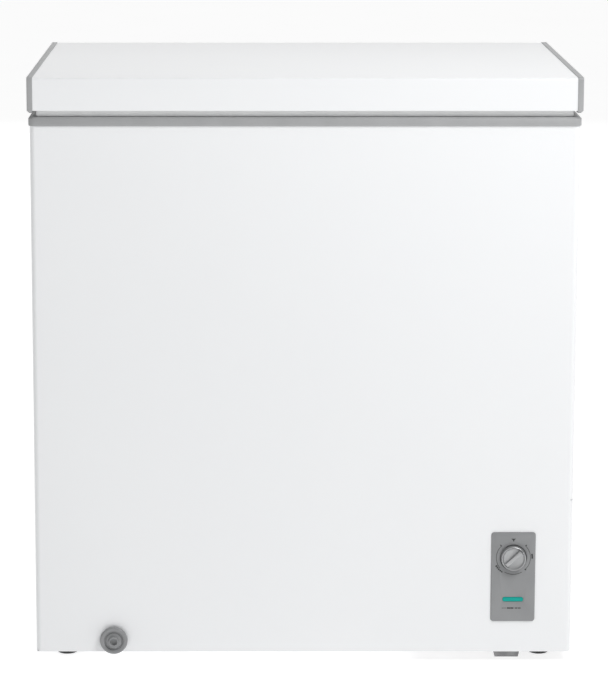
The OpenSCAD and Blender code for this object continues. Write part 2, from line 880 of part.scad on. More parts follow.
module hinge_leaf(x) {
    color("silver") translate([x, 0, 0]) difference() {
        union() {
            block([-18, pan_back, lid_bottom + 3], [18, pan_back + 2.3, lid_bottom + 43]);
            for (e = [-18, 15.7]) extrude_x(e, 2.3) {
                translate([pin_y, pin_z]) circle(9);
                polygon([[pan_back, lid_bottom + 3], [pan_back, lid_bottom + 43],
                    [pan_back + 7, lid_bottom + 43],
                    [pin_y + 8.5, pin_z + 3], [pin_y - 4, pin_z - 7]]);
            }
            extrude_x(-3, 6) translate([pin_y, pin_z]) {
                circle(cam_small_r);
                polygon(concat([[0, 0]], [for (a = [-9:3:lid_open + 6]) cam_point(a)]));
            }
            extrude_x(-16, 32) translate([pin_y, pin_z]) circle(6);
        }
        rod_x([-30, pin_y, pin_z], pin_r + 0.08, 60);
        translate([-x, 0, 0]) leaf_screw_holes(x);
    }
}
module hinge_leaf_left() { hinge_leaf(-hinge_x); }
module hinge_leaf_right() { hinge_leaf(hinge_x); }

module hinge_plunger(x) {
    color("dimgray") translate([x, pin_y, pin_z]) {
        rod_x([-3, 0, -cam_reach], roller_r, 6);
        block([-2.5, -3.5, -30], [2.5, 3.5, -cam_reach - 1]);
        translate([0, 0, spring_top - pin_z]) cylinder(r = 9, h = 28);
        translate([0, 0, spring_bottom - pin_z - 13]) cylinder(r = 3, h = 120);
    }
}
module hinge_plunger_left() { hinge_plunger(-hinge_x); }
module hinge_plunger_right() { hinge_plunger(hinge_x); }

module hinge_spring(x) {
    wire = 1.3;
    turns = 9;
    steps = 12;
    rise = spring_top - spring_bottom - 2 * wire - 0.4;
    color("gray") tube([for (i = [0:turns * steps]) let (a = 360 * i / steps)
        [x + 6.2 * cos(a), pin_y + 6.2 * sin(a),
            spring_bottom + wire + 0.2 + rise * i / (turns * steps)]], wire, 6);
}
module hinge_spring_left() { hinge_spring(-hinge_x); }
module hinge_spring_right() { hinge_spring(hinge_x); }

module hinge_cover(x) {
    w = channel_x + 0.6;
    t = 1.6;
    low = spring_bottom - 20;
    color("lightgray") translate([x, 0, 0]) difference() {
        block([-w - t, back, low], [w + t, back + hinge_depth, rim_bottom - 3]);
        block([-w, back - 1, low + t], [w, back + hinge_depth - t, rim_bottom]);
    }
}
module hinge_cover_left() { hinge_cover(-hinge_x); }
module hinge_cover_right() { hinge_cover(hinge_x); }

// ---------- basket ----------

module basket() {
    y0 = basket_front;
    y1 = basket_back;
    x1 = basket_x + basket_l;
    z0 = basket_top - basket_h;
    color("white") union() {
        difference() {
            block([basket_x, y0, z0], [x1, y1, basket_top]);
            block([basket_x + basket_t, y0 + basket_t, z0 + basket_t], [x1 - basket_t, y1 - basket_t, total_h]);
        }
        // hooks that rise outside the walls and run out over the rim, front and back
        for (x = [basket_x + 30, x1 - 30]) {
            rod_z([x, y0 - 0.5, basket_top - 40], post_r, hook_z + post_r - basket_top + 40);
            rod_z([x, y1 + 0.5, basket_top - 40], post_r, hook_z + post_r - basket_top + 40);
            rod_y([x, mouth_front - 16, hook_z], hook_r, y0 - 0.5 - mouth_front + 16);
            rod_y([x, y1 + 0.5, hook_z], hook_r, mouth_back + 16 - y1 - 0.5);
        }
    }
}

outer_wrap();
back_panel();
bottom_panel();
bay_divider();
cabinet_foam();
inner_liner();
top_rim();
evaporator_coil();
condenser_coil();
compressor_shell();
compressor_bracket();
compressor_grommets();
compressor_bolts();
compressor_tray();
tray_screws();
relay_cover();
filter_drier();
suction_line();
discharge_line();
capillary_tube();
rear_grille();
rear_grille_screws();
side_vent();
cord_grommet();
control_bezel();
control_box();
thermostat_body();
thermostat_sensor();
indicator_lens();
indicator_lamp();
wiring_harness();
drain_tube();
drain_outlet();
feet();
foot_screws();
hinge_base_left();
hinge_base_right();
hinge_pins();
hinge_spring_left();
hinge_spring_right();
hinge_cover_left();
hinge_cover_right();
hinge_base_screws();
lid_pan();
lid_end_cap_left();
lid_end_cap_right();
lid_foam();
lid_liner();
lid_gasket();
gasket_magnet();
hinge_leaf_left();
hinge_leaf_right();
hinge_leaf_screws();
hinge_plunger_left();
hinge_plunger_right();
thermostat_knob();
thermostat_shaft();
drain_cap();
drain_plug();
basket();
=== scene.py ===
import json
import math

import bmesh
import bpy
from mathutils import Matrix, Vector

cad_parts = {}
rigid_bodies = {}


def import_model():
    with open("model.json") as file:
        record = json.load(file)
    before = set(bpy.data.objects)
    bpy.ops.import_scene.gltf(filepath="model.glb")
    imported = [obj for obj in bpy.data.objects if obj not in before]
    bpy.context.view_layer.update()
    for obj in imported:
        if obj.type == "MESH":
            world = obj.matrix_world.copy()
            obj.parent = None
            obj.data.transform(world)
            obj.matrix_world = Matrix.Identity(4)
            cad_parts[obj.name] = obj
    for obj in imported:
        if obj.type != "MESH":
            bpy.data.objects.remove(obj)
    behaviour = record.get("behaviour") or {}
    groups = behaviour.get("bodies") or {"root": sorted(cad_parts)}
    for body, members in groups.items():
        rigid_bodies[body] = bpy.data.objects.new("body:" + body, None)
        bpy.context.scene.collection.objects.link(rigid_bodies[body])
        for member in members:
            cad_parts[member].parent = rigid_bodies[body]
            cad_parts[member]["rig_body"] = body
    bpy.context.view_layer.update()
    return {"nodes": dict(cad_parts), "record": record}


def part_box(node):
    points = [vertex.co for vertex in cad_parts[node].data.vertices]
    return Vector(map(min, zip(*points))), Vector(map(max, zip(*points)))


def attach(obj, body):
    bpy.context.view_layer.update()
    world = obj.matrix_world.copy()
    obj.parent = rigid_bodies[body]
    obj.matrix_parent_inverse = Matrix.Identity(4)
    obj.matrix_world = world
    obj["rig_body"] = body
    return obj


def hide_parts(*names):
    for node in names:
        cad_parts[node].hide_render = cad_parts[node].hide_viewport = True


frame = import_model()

MM = 0.001
SLOT_OF = {part["node"]: part["material_slot"] for part in frame["record"]["subparts"]}


# ---------- modelling by hand ----------

def deselect():
    """Leaves edit mode and clears the selection."""
    if bpy.context.mode != "OBJECT":
        bpy.ops.object.mode_set(mode="OBJECT")
    bpy.ops.object.select_all(action="DESELECT")


def choose(*pieces):
    """Selects these pieces alone; the first one is active."""
    deselect()
    for piece in pieces:
        piece.select_set(True)
    bpy.context.view_layer.objects.active = pieces[0]


def adopt(name):
    """Names the primitive just added and writes its place into its mesh."""
    piece = bpy.context.object
    piece.name = piece.data.name = name
    bpy.ops.object.transform_apply(location=True, rotation=True, scale=True)
    return piece


def block(name, low, high):
    """A box from its lowest corner to its highest."""
    deselect()
    low, high = Vector(low), Vector(high)
    bpy.ops.mesh.primitive_cube_add(size=1, location=(low + high) / 2, scale=high - low)
    return adopt(name)


def facing(toward):
    """The turn that points local Z toward a direction."""
    return Vector(toward).to_track_quat("Z", "Y").to_euler()


def rod(name, start, toward, radius, length, sides=48):
    """A round bar from a start point."""
    deselect()
    middle = Vector(start) + Vector(toward) * length / 2
    bpy.ops.mesh.primitive_cylinder_add(
        vertices=sides, radius=radius, depth=length, location=middle, rotation=facing(toward))
    return adopt(name)


def pick(piece, kind, test):
    """Goes into edit mode with only the faces, edges or points selected that pass the test on their
    middle and their direction: a face's or point's normal, or an edge's run."""
    choose(piece)
    bpy.ops.object.mode_set(mode="EDIT")
    bpy.ops.mesh.select_mode(type=kind)
    bpy.ops.mesh.select_all(action="DESELECT")
    mesh = bmesh.from_edit_mesh(piece.data)
    mesh.normal_update()
    if kind == "FACE":
        chosen = [f for f in mesh.faces if test(f.calc_center_median(), f.normal)]
    elif kind == "EDGE":
        ends = [(e, e.verts[0].co, e.verts[1].co) for e in mesh.edges]
        chosen = [e for e, a, b in ends if test((a + b) / 2, (b - a).normalized())]
    else:
        chosen = [v for v in mesh.verts if test(v.co, v.normal)]
    for part in chosen:
        part.select_set(True)
    mesh.select_flush_mode()
    bmesh.update_edit_mesh(piece.data)


def push(shift):
    """Extrudes what is selected."""
    bpy.ops.mesh.extrude_region_move(TRANSFORM_OT_translate={"value": Vector(shift)})


def resize(scale, centre):
    """Scales what is selected about a point."""
    bpy.ops.transform.resize(value=Vector(scale), center_override=Vector(centre))


def tidy_normals(piece):
    """Merges doubled points and turns every face outwards."""
    choose(piece)
    bpy.ops.object.mode_set(mode="EDIT")
    bpy.ops.mesh.select_all(action="SELECT")
    bpy.ops.mesh.remove_doubles(threshold=0.01 * MM)
    bpy.ops.mesh.normals_make_consistent(inside=False)
    bpy.ops.object.mode_set(mode="OBJECT")


def apply_all(piece):
    """Applies a piece's modifiers."""
    choose(piece)
    for modifier in list(piece.modifiers):
        bpy.ops.object.modifier_apply(modifier=modifier.name)
    return piece


def thicken(piece, thickness, side=-1):
    """Gives a sheet its wall: side -1 grows it inwards, 1 outwards."""
    wall = piece.modifiers.new("Wall", "SOLIDIFY")
    wall.thickness = thickness
    wall.offset = side
    wall.use_even_offset = True
    return apply_all(piece)


def soften(piece, width, segments=2, angle=35):
    """Rounds the edges that are sharper than an angle."""
    bevel = piece.modifiers.new("Edges", "BEVEL")
    bevel.width = width
    bevel.segments = segments
    bevel.limit_method = "ANGLE"
    bevel.angle_limit = math.radians(angle)
    return apply_all(piece)


def combine(piece, other, operation="DIFFERENCE"):
    """Cuts the other solid out of a piece, or adds it, and removes the other."""
    boolean = piece.modifiers.new("Boolean", "BOOLEAN")
    boolean.operation = operation
    boolean.solver = "EXACT"
    boolean.object = other
    apply_all(piece)
    bpy.data.objects.remove(other, do_unlink=True)
    return piece


def copied(piece, name, shift=(0, 0, 0), flip=(1, 1, 1)):
    """A copy with its own mesh, mirrored where flip is -1 and then moved."""
    twin = bpy.data.objects.new(name, piece.data.copy())
    bpy.context.scene.collection.objects.link(twin)
    twin.data.name = name
    twin.data.transform(Matrix.Translation(Vector(shift)) @ Matrix.Diagonal((*flip, 1)))
    if flip[0] * flip[1] * flip[2] < 0:
        twin.data.flip_normals()
    return twin


def row(piece, shifts):
    """The piece and its copies at each shift, joined into one."""
    copies = [copied(piece, piece.name + "_copy", shift) for shift in shifts]
    return joined(piece, *copies)


def joined(piece, *others):
    """Joins pieces into the first one."""
    if others:
        choose(piece, *others)
        bpy.ops.object.join()
    return piece


def turned(name, base, toward, profile, sides=64):
    """A turned solid: a disc pushed and resized through (radius, height) steps along its axis."""
    deselect()
    base, toward = Vector(base), Vector(toward)
    radius, height = profile[0]
    bpy.ops.mesh.primitive_circle_add(
        vertices=sides, radius=radius, fill_type="NGON",
        location=base + toward * height, rotation=facing(toward))
    piece = adopt(name)
    bpy.ops.object.mode_set(mode="EDIT")
    bpy.ops.mesh.select_mode(type="FACE")
    bpy.ops.mesh.select_all(action="SELECT")
    for next_radius, next_height in profile[1:]:
        push(toward * (next_height - height))
        resize([next_radius / radius] * 3, base + toward * next_height)
        radius, height = next_radius, next_height
    tidy_normals(piece)
    return piece


def framed(name, low, high, corner, profile):
    """A ring of one section round a rectangle: its edge loop is pushed and resized through
    (inset, height) steps, and the last step closes on the first. corner is the (front, back) radius."""
    deselect()
    low, high = Vector(low), Vector(high)
    inset, height = profile[0]
    middle = (low + high) / 2
    size = high - low
    bpy.ops.mesh.primitive_plane_add(size=1, location=(middle.x, middle.y, height))
    bpy.context.object.scale = (size.x, size.y, 1)
    piece = adopt(name)
    for radius, front in zip(corner, (True, False)):
        pick(piece, "VERT", lambda at, way: (at.y < middle.y) == front)
        bpy.ops.mesh.bevel(offset=radius, segments=6, affect="VERTICES")
    pick(piece, "FACE", lambda at, way: True)
    bpy.ops.mesh.delete(type="ONLY_FACE")
    bpy.ops.mesh.select_mode(type="EDGE")
    bpy.ops.mesh.select_all(action="SELECT")
    resize([(size.x - 2 * inset) / size.x, (size.y - 2 * inset) / size.y, 1], middle)
    for next_inset, next_height in profile[1:]:
        push((0, 0, next_height - height))
        scale = [(side - 2 * next_inset) / (side - 2 * inset) for side in (size.x, size.y)]
        resize([*scale, 1], middle)
        inset, height = next_inset, next_height
    tidy_normals(piece)
    return piece


def bent_wire(name, points, radius, bend, sides=8):
    """A round wire along straight runs joined by bends: a circle pushed and spun, then capped."""
    deselect()
    points = [Vector(p) for p in points]
    way = (points[1] - points[0]).normalized()
    bpy.ops.mesh.primitive_circle_add(
        vertices=sides, radius=radius, fill_type="NGON", location=points[0], rotation=facing(way))
    piece = adopt(name)
    bpy.ops.object.mode_set(mode="EDIT")
    bpy.ops.mesh.select_mode(type="FACE")
    bpy.ops.mesh.select_all(action="SELECT")
    at = points[0]
    for here, after in zip(points[1:], points[2:] + [None]):
        if after is None:
            push(here - at)
            break
        next_way = (after - here).normalized()
        turn = way.angle(next_way)
        reach = bend * math.tan(turn / 2)
        push(here - way * reach - at)
        axis = way.cross(next_way).normalized()
        start = here - way * reach
        centre = start + axis.cross(way) * bend
        bpy.ops.mesh.spin(steps=max(3, round(turn / 0.3)), angle=turn, center=centre, axis=axis,
                          use_auto_merge=False)
        at, way = here + next_way * reach, next_way
    tidy_normals(piece)
    return piece


def fit(piece, node, finish=None, smooth=35):
    """Finishes a piece that stands for a CAD node: smooth shading, its body, its slot and its finish."""
    tidy_normals(piece)
    bpy.ops.object.shade_smooth_by_angle(angle=math.radians(smooth))
    piece.data.materials.clear()
    piece.data.materials.append(finish or FINISHES[SLOT_OF[node]])
    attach(piece, frame["nodes"][node]["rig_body"])
    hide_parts(node)
    return piece


def add_on(piece, node, finish):
    """Finishes a piece that is fixed to a CAD node's body and stands for none."""
    tidy_normals(piece)
    bpy.ops.object.shade_smooth_by_angle(angle=math.radians(35))
    piece.data.materials.clear()
    piece.data.materials.append(finish)
    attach(piece, frame["nodes"][node]["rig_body"])
    return piece


# ---------- finishes ----------

def wire(material, kind, values, **settings):
    """Adds a node: settings are its own choices, values its inputs, each fixed or linked."""
    node = material.node_tree.nodes.new("ShaderNode" + kind)
    for setting, value in settings.items():
        setattr(node, setting, value)
    for name, value in values.items():
        if isinstance(value, bpy.types.NodeSocket):
            material.node_tree.links.new(value, node.inputs[name])
        else:
            node.inputs[name].default_value = value
    return node


def shader_of(material):
    return material.node_tree.nodes["Principled BSDF"]


def link(material, value, socket):
    material.node_tree.links.new(value, shader_of(material).inputs[socket])


def bare(name, colour, rough, metal=0.0, **values):
    """A new material with its shader's constants set; a name's underscores stand for spaces."""
    material = bpy.data.materials.new(name)
    material.use_nodes = True
    sockets = shader_of(material).inputs
    sockets["Base Color"].default_value = (*colour, 1)
    sockets["Roughness"].default_value = rough
    sockets["Metallic"].default_value = metal
    for socket, value in values.items():
        sockets[socket.replace("_", " ")].default_value = value
    return material


def place(material):
    """The point on the object, in metres."""
    return wire(material, "TexCoord", {}).outputs["Object"]


def mottle(material, scale, detail=3.0, stretch=(1, 1, 1)):
    """Soft noise with a number of spots to the metre, stretched along an axis where wanted."""
    spot = wire(material, "Mapping", {"Vector": place(material), "Scale": stretch}).outputs["Vector"]
    return wire(material, "TexNoise", {"Vector": spot, "Scale": scale, "Detail": detail}).outputs["Fac"]


def tint(material, factor, dark, light, low=0.3, high=0.7):
    """Colours a surface from dark to light by a factor."""
    ramp = wire(material, "ValToRGB", {"Fac": factor})
    ramp.color_ramp.elements[0].position = low
    ramp.color_ramp.elements[1].position = high
    ramp.color_ramp.elements[0].color = (*dark, 1)
    ramp.color_ramp.elements[1].color = (*light, 1)
    link(material, ramp.outputs["Color"], "Base Color")


def vary_rough(material, factor, low, high):
    """Lets the roughness wander between two values."""
    spread = {"Value": factor, "From Min": 0.3, "From Max": 0.7, "To Min": low, "To Max": high}
    link(material, wire(material, "MapRange", spread).outputs["Result"], "Roughness")


def relief(material, height, depth, strength=1.0):
    """Raises a surface by a height pattern, depth metres deep."""
    bump = wire(material, "Bump", {"Height": height, "Distance": depth, "Strength": strength})
    link(material, bump.outputs["Normal"], "Normal")


def white_paint():
    """Sprayed and baked enamel with a faint orange peel."""
    paint = bare("white_paint", (0.86, 0.87, 0.88), 0.3)
    tint(paint, mottle(paint, 3, 2), (0.857, 0.867, 0.878), (0.863, 0.872, 0.882))
    vary_rough(paint, mottle(paint, 260, 2), 0.29, 0.32)
    relief(paint, mottle(paint, 420, 1), 0.01 * MM, 0.5)
    return paint


def galvanised_sheet():
    """Zinc-dipped steel with its spangle of crystals."""
    zinc = bare("galvanised_sheet", (0.6, 0.61, 0.62), 0.42, 0.85)
    crystals = wire(zinc, "TexVoronoi", {"Vector": place(zinc), "Scale": 85.0, "Randomness": 1.0})
    shade = wire(zinc, "SeparateColor", {"Color": crystals.outputs["Color"]}).outputs["Red"]
    tint(zinc, shade, (0.5, 0.51, 0.53), (0.68, 0.69, 0.7), 0.0, 1.0)
    spread = {"Value": shade, "To Min": 0.34, "To Max": 0.55}
    link(zinc, wire(zinc, "MapRange", spread).outputs["Result"], "Roughness")
    relief(zinc, mottle(zinc, 240, 2), 0.03 * MM, 0.5)
    return zinc


def foam():
    """Poured polyurethane foam with its skin of small cells."""
    cells = bare("foam", (0.8, 0.68, 0.42), 0.85)
    bubbles = wire(cells, "TexVoronoi", {"Vector": place(cells), "Scale": 420.0}).outputs["Distance"]
    tint(cells, bubbles, (0.66, 0.53, 0.3), (0.86, 0.75, 0.5), 0.0, 0.6)
    relief(cells, bubbles, 0.5 * MM, 0.7)
    return cells


def stucco_aluminium():
    """Rolled aluminium sheet with a stucco emboss."""
    metal = bare("stucco_aluminium", (0.83, 0.84, 0.85), 0.36, 0.75)
    bumps = wire(metal, "TexVoronoi", {"Vector": place(metal), "Scale": 150.0, "Smoothness": 0.6},
                 feature="SMOOTH_F1").outputs["Distance"]
    tint(metal, mottle(metal, 5), (0.79, 0.8, 0.815), (0.86, 0.865, 0.87))
    vary_rough(metal, mottle(metal, 22), 0.3, 0.42)
    relief(metal, bumps, 0.6 * MM, 0.55)
    return metal


def moulded(name, dark, light, rough, grain=700.0, depth=0.04):
    """Moulded plastic with a fine spark-eroded grain."""
    plastic = bare(name, light, rough)
    tint(plastic, mottle(plastic, 18, 4), dark, light)
    vary_rough(plastic, mottle(plastic, 60, 3), rough - 0.05, rough + 0.06)
    relief(plastic, mottle(plastic, grain, 3), depth * MM, 0.6)
    return plastic


def drawn_copper():
    """Drawn copper tube, browned in places by brazing heat."""
    copper = bare("drawn_copper", (0.72, 0.36, 0.22), 0.3, 0.95)
    tint(copper, mottle(copper, 26, 5), (0.45, 0.2, 0.12), (0.8, 0.42, 0.27), 0.25, 0.6)
    vary_rough(copper, mottle(copper, 40), 0.22, 0.42)
    relief(copper, mottle(copper, 500, 2), 0.03 * MM, 0.4)
    return copper


def black_enamel():
    """Stoved black enamel on the compressor's shell."""
    enamel = bare("black_enamel", (0.02, 0.02, 0.022), 0.25, 0.0)
    tint(enamel, mottle(enamel, 12), (0.012, 0.012, 0.014), (0.035, 0.035, 0.037))
    vary_rough(enamel, mottle(enamel, 30), 0.18, 0.34)
    relief(enamel, mottle(enamel, 260, 2), 0.08 * MM, 0.5)
    return enamel


def black_rubber():
    """Moulded rubber, dull and dusty in its pores."""
    rubber = bare("black_rubber", (0.03, 0.03, 0.03), 0.75)
    tint(rubber, mottle(rubber, 90, 4), (0.02, 0.02, 0.02), (0.06, 0.06, 0.058))
    vary_rough(rubber, mottle(rubber, 120), 0.66, 0.85)
    relief(rubber, mottle(rubber, 900, 2), 0.06 * MM, 0.6)
    return rubber


def bright_zinc(name="bright_zinc", dark=(0.56, 0.57, 0.58), light=(0.72, 0.73, 0.74), rough=0.28):
    """Pressed or turned steel under bright zinc plate, with fine drawing marks."""
    plate = bare(name, light, rough, 0.95)
    tint(plate, mottle(plate, 45, 4), dark, light)
    vary_rough(plate, mottle(plate, 70), rough - 0.06, rough + 0.12)
    relief(plate, mottle(plate, 300, 2, (1, 1, 6)), 0.02 * MM, 0.5)
    return plate


def teal_lens():
    """Tinted lens over the lamp, faintly lit."""
    lens = bare("teal_lens", (0.002, 0.28, 0.24), 0.4, Specular_IOR_Level=0.2, Emission_Strength=0.05)
    shader_of(lens).inputs["Emission Color"].default_value = (0.01, 0.8, 0.7, 1)
    tint(lens, mottle(lens, 120, 1, (0.3, 1, 1)), (0.002, 0.25, 0.215), (0.003, 0.31, 0.265))
    relief(lens, mottle(lens, 900, 1), 0.02 * MM, 0.4)
    return lens


def lamp_glass():
    """Clear glass of the pilot lamp."""
    glass = bare("lamp_glass", (0.95, 0.85, 0.75), 0.08, Transmission_Weight=0.8, IOR=1.5)
    tint(glass, mottle(glass, 300, 2), (0.9, 0.6, 0.4), (0.98, 0.9, 0.85))
    return glass


def vinyl():
    """Soft vinyl of the gasket, with a slight bloom."""
    soft = bare("vinyl", (0.87, 0.875, 0.88), 0.5)
    tint(soft, mottle(soft, 30, 3), (0.84, 0.845, 0.85), (0.88, 0.885, 0.89))
    vary_rough(soft, mottle(soft, 80), 0.44, 0.58)
    relief(soft, mottle(soft, 500, 2), 0.03 * MM, 0.5)
    return soft


def dipped_wire():
    """Steel wire in a dipped white coat."""
    coat = bare("dipped_wire", (0.85, 0.85, 0.85), 0.26)
    tint(coat, mottle(coat, 60), (0.8, 0.8, 0.8), (0.88, 0.88, 0.87))
    vary_rough(coat, mottle(coat, 90), 0.2, 0.34)
    relief(coat, mottle(coat, 260, 2), 0.1 * MM, 0.5)
    return coat


FINISHES = {
    "white_painted_steel": white_paint(),
    "galvanised_steel": galvanised_sheet(),
    "insulating_foam": foam(),
    "liner_aluminium": stucco_aluminium(),
    "grey_plastic": moulded("grey_plastic", (0.34, 0.345, 0.35), (0.385, 0.39, 0.395), 0.42),
    "copper_tube": drawn_copper(),
    "black_enamel": black_enamel(),
    "black_rubber": black_rubber(),
    "zinc_plated": bright_zinc(),
    "black_plastic": moulded("black_plastic", (0.02, 0.02, 0.021), (0.035, 0.035, 0.036), 0.5),
    "white_plastic": moulded("white_plastic", (0.78, 0.78, 0.77), (0.84, 0.84, 0.83), 0.38),
    "panel_grey": moulded("panel_grey", (0.245, 0.25, 0.255), (0.275, 0.28, 0.285), 0.4),
    "teal_lens": teal_lens(),
    "clear_glass": lamp_glass(),
    "spring_steel": bright_zinc("spring_steel", (0.22, 0.22, 0.23), (0.4, 0.4, 0.42), 0.36),
    "gasket_vinyl": vinyl(),
    "coated_wire": dipped_wire(),
}
PRINTED = moulded("printed_marks", (0.03, 0.031, 0.032), (0.042, 0.043, 0.044), 0.5)

# The compressor tray gets a darker copy of the bright zinc finish: its grey is painted shade, standing in
# for shade its front end lacks under the floor's light, not the metal's own colour.
TRAY_ZINC_PAINTED_SHADE = bright_zinc("tray_zinc_painted_shade", (0.26, 0.26, 0.265), (0.34, 0.34, 0.345), 0.5)
KNOB_PAINT = moulded("knob_paint", (0.36, 0.365, 0.37), (0.42, 0.425, 0.43), 0.34)
shader_of(KNOB_PAINT).inputs["Metallic"].default_value = 0.6

# Every CAD node takes its slot's finish, except the compressor tray, which takes the darker zinc copy with
# painted shade.
for node, shape in frame["nodes"].items():
    shape.data.materials.clear()
    shape.data.materials.append(TRAY_ZINC_PAINTED_SHADE if node == "compressor_tray" else FINISHES[SLOT_OF[node]])


# ---------- camera, light and floor ----------

def camera():
    lens = bpy.data.cameras.new("camera")
    lens.lens = 149.4
    lens.sensor_width = 36
    lens.shift_x = 0.0698
    lens.shift_y = -0.09
    lens.clip_end = 200
    eye = bpy.data.objects.new("camera", lens)
    bpy.context.scene.collection.objects.link(eye)
    lid_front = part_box("lid_end_cap_left")[0].y
    eye.location = (-0.07, lid_front - 4.048, 1.273)
    eye.rotation_euler = (math.radians(79.91), 0, 0)
    bpy.context.scene.camera = eye


def softbox(name, place_at, aim, size, power):
    """A large square light turned towards a point."""
    light = bpy.data.lights.new(name, "AREA")
    light.size = size
    light.energy = power
    lamp = bpy.data.objects.new(name, light)
    bpy.context.scene.collection.objects.link(lamp)
    lamp.location = place_at
    lamp.visible_camera = False
    lamp.rotation_euler = (Vector(place_at) - Vector(aim)).to_track_quat("Z", "Y").to_euler()


def studio():
    """A pale floor under an even white surround, lit from the upper right, from above and from behind."""
    world = bpy.data.worlds.new("surround")
    world.use_nodes = True
    world.node_tree.nodes["Background"].inputs["Color"].default_value = (1, 1, 1, 1)
    world.node_tree.nodes["Background"].inputs["Strength"].default_value = 0.3
    bpy.context.scene.world = world
    bpy.context.scene.view_settings.view_transform = "Standard"
    softbox("main_light", (1.25, -1.5, 2.15), (0, -0.3, 0.5), 1.0, 31)
    softbox("top_light", (0, -0.1, 3.2), (0, 0, 0.8), 2.4, 16)
    softbox("back_light", (0, 6.0, 2.1), (0, 0, 1.0), 3.0, 26)
    deselect()
    bpy.ops.mesh.primitive_plane_add(size=90)
    floor = adopt("floor")
    surface = bare("floor", (0.5, 0.5, 0.5), 0.8, Emission_Strength=0.8)
    shader_of(surface).inputs["Emission Color"].default_value = (1, 1, 1, 1)
    tint(surface, mottle(surface, 2), (0.49, 0.49, 0.49), (0.51, 0.51, 0.51))
    floor.data.materials.append(surface)


camera()
studio()


# ---------- cabinet ----------

def cabinet_wrap():
    """The painted sheet bent round the front and both ends, with its three openings."""
    low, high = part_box("outer_wrap")
    wrap = block("cabinet_wrap", low, high)
    pick(wrap, "FACE", lambda at, way: abs(way.z) > 0.5 or way.y > 0.5)
    bpy.ops.mesh.delete(type="FACE")
    pick(wrap, "EDGE", lambda at, way: abs(way.z) > 0.5 and at.y < 0)
    bpy.ops.mesh.bevel(offset=8 * MM, segments=8)
    thicken(wrap, 1 * MM)
    panel_low, panel_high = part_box("control_box")
    combine(wrap, block("opening", (panel_low.x - 0.2 * MM, low.y - 9 * MM, panel_low.z - 0.2 * MM),
                        (panel_high.x + 0.2 * MM, low.y + 9 * MM, panel_high.z + 0.2 * MM)))
    drain = middle_of("drain_outlet")
    combine(wrap, rod("opening", (drain.x, low.y - 9 * MM, drain.z), (0, 1, 0), 12 * MM, 18 * MM))
    vent_low, vent_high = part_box("side_vent")
    frame_width = 8 * MM
    combine(wrap, block("opening", (high.x - 9 * MM, vent_low.y + frame_width, vent_low.z + frame_width),
                        (high.x + 9 * MM, vent_high.y - frame_width, vent_high.z - frame_width)))
    fit(wrap, "outer_wrap", smooth=25)


def middle_of(node):
    low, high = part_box(node)
    return (low + high) / 2


def rim():
    """The plastic frame that holds the wrap's edge and turns down into the tub's mouth."""
    low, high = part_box("top_rim")
    steps = [(2, -12.5), (0.3, -12.5), (0, -12.1), (0, -2.6), (0.5, -1.8), (1.6, -1.3), (2.2, -0.3),
             (2.8, 0), (20, 0), (20.6, -0.5), (22.4, -0.5), (23, 0), (53.6, 0), (55, -0.4), (55.5, -1.6),
             (55.5, -24.5), (54, -24.5), (54, -3.5), (2, -3.5), (2, -12.5)]
    profile = [(inset * MM, high.z + drop * MM) for inset, drop in steps]
    fit(framed("rim", low, high, (10 * MM, 3 * MM), profile), "top_rim")


def tub():
    """The embossed liner: an L-shaped well with round corners, with the step over the compressor."""
    low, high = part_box("inner_liner")
    sheet = 1.5 * MM
    bottom, top = low + Vector((sheet, sheet, sheet)), high - Vector((sheet, sheet, 0))
    foam_beside_bay = 50.5 * MM
    foam_over_bay = 48.5 * MM
    step_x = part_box("bay_divider")[0].x - foam_beside_bay
    step_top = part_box("bay_divider")[1].z + foam_over_bay
    well = block("tub", bottom, (step_x, top.y, step_top))
    pick(well, "FACE", lambda at, way: way.z > 0.5)
    push((0, 0, top.z - step_top))
    pick(well, "FACE", lambda at, way: way.x > 0.5 and at.z > step_top)
    push((top.x - step_x, 0, 0))
    pick(well, "FACE", lambda at, way: way.z > 0.5 and at.z > top.z - 1 * MM)
    bpy.ops.mesh.delete(type="FACE")
    tidy_normals(well)
    pick(well, "EDGE", lambda at, way: at.z < top.z - 1 * MM)
    bpy.ops.mesh.dissolve_limited(angle_limit=math.radians(1))
    sharp = bmesh.from_edit_mesh(well.data)
    for edge in sharp.edges:
        edge.select_set(not edge.is_boundary)
    bpy.ops.mesh.bevel(offset=16 * MM, segments=5)
    thicken(well, sheet, 1)
    hole = middle_of("drain_plug")
    combine(well, rod("opening", (hole.x, hole.y, low.z - 5 * MM), (0, 0, 1), 8 * MM, 20 * MM))
    fit(well, "inner_liner", smooth=40)


def back_plate():
    """The galvanised back with two pressed frames that stiffen it, open behind the bay."""
    low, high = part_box("back_panel")
    plate = block("back_plate", low, high)
    bay_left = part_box("rear_grille")[0].x
    bay_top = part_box("rear_grille")[1].z
    hinge_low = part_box("hinge_cover_left")[0].z
    for point, way in (((bay_left - 10 * MM, 0, 0), (1, 0, 0)), ((0, 0, bay_top + 14 * MM), (0, 0, 1)),
                       ((0, 0, hinge_low - 16 * MM), (0, 0, 1))):
        pick(plate, "FACE", lambda at, way: True)
        bpy.ops.mesh.bisect(plane_co=point, plane_no=way)
    inset = 16 * MM
    pick(plate, "FACE", lambda at, way: way.y > 0.5 and at.z < hinge_low - inset
         and (at.x < bay_left - 10 * MM or at.z > bay_top + 14 * MM))
    bpy.ops.mesh.inset(thickness=inset, use_individual=True)
    bpy.ops.mesh.inset(thickness=3 * MM, depth=2 * MM, use_individual=True)
    bpy.ops.mesh.inset(thickness=7 * MM, use_individual=True)
    bpy.ops.mesh.inset(thickness=3 * MM, depth=-2 * MM, use_individual=True)
    soften(plate, 0.9 * MM, 2, 20)
    bay_low, bay_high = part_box("rear_grille")
    margin = 13 * MM
    combine(plate, block("opening", (bay_low.x + margin, low.y - 5 * MM, low.z + 3 * MM),
                         (bay_high.x - margin, high.y + 5 * MM, bay_high.z - margin)))
    fit(plate, "back_panel")


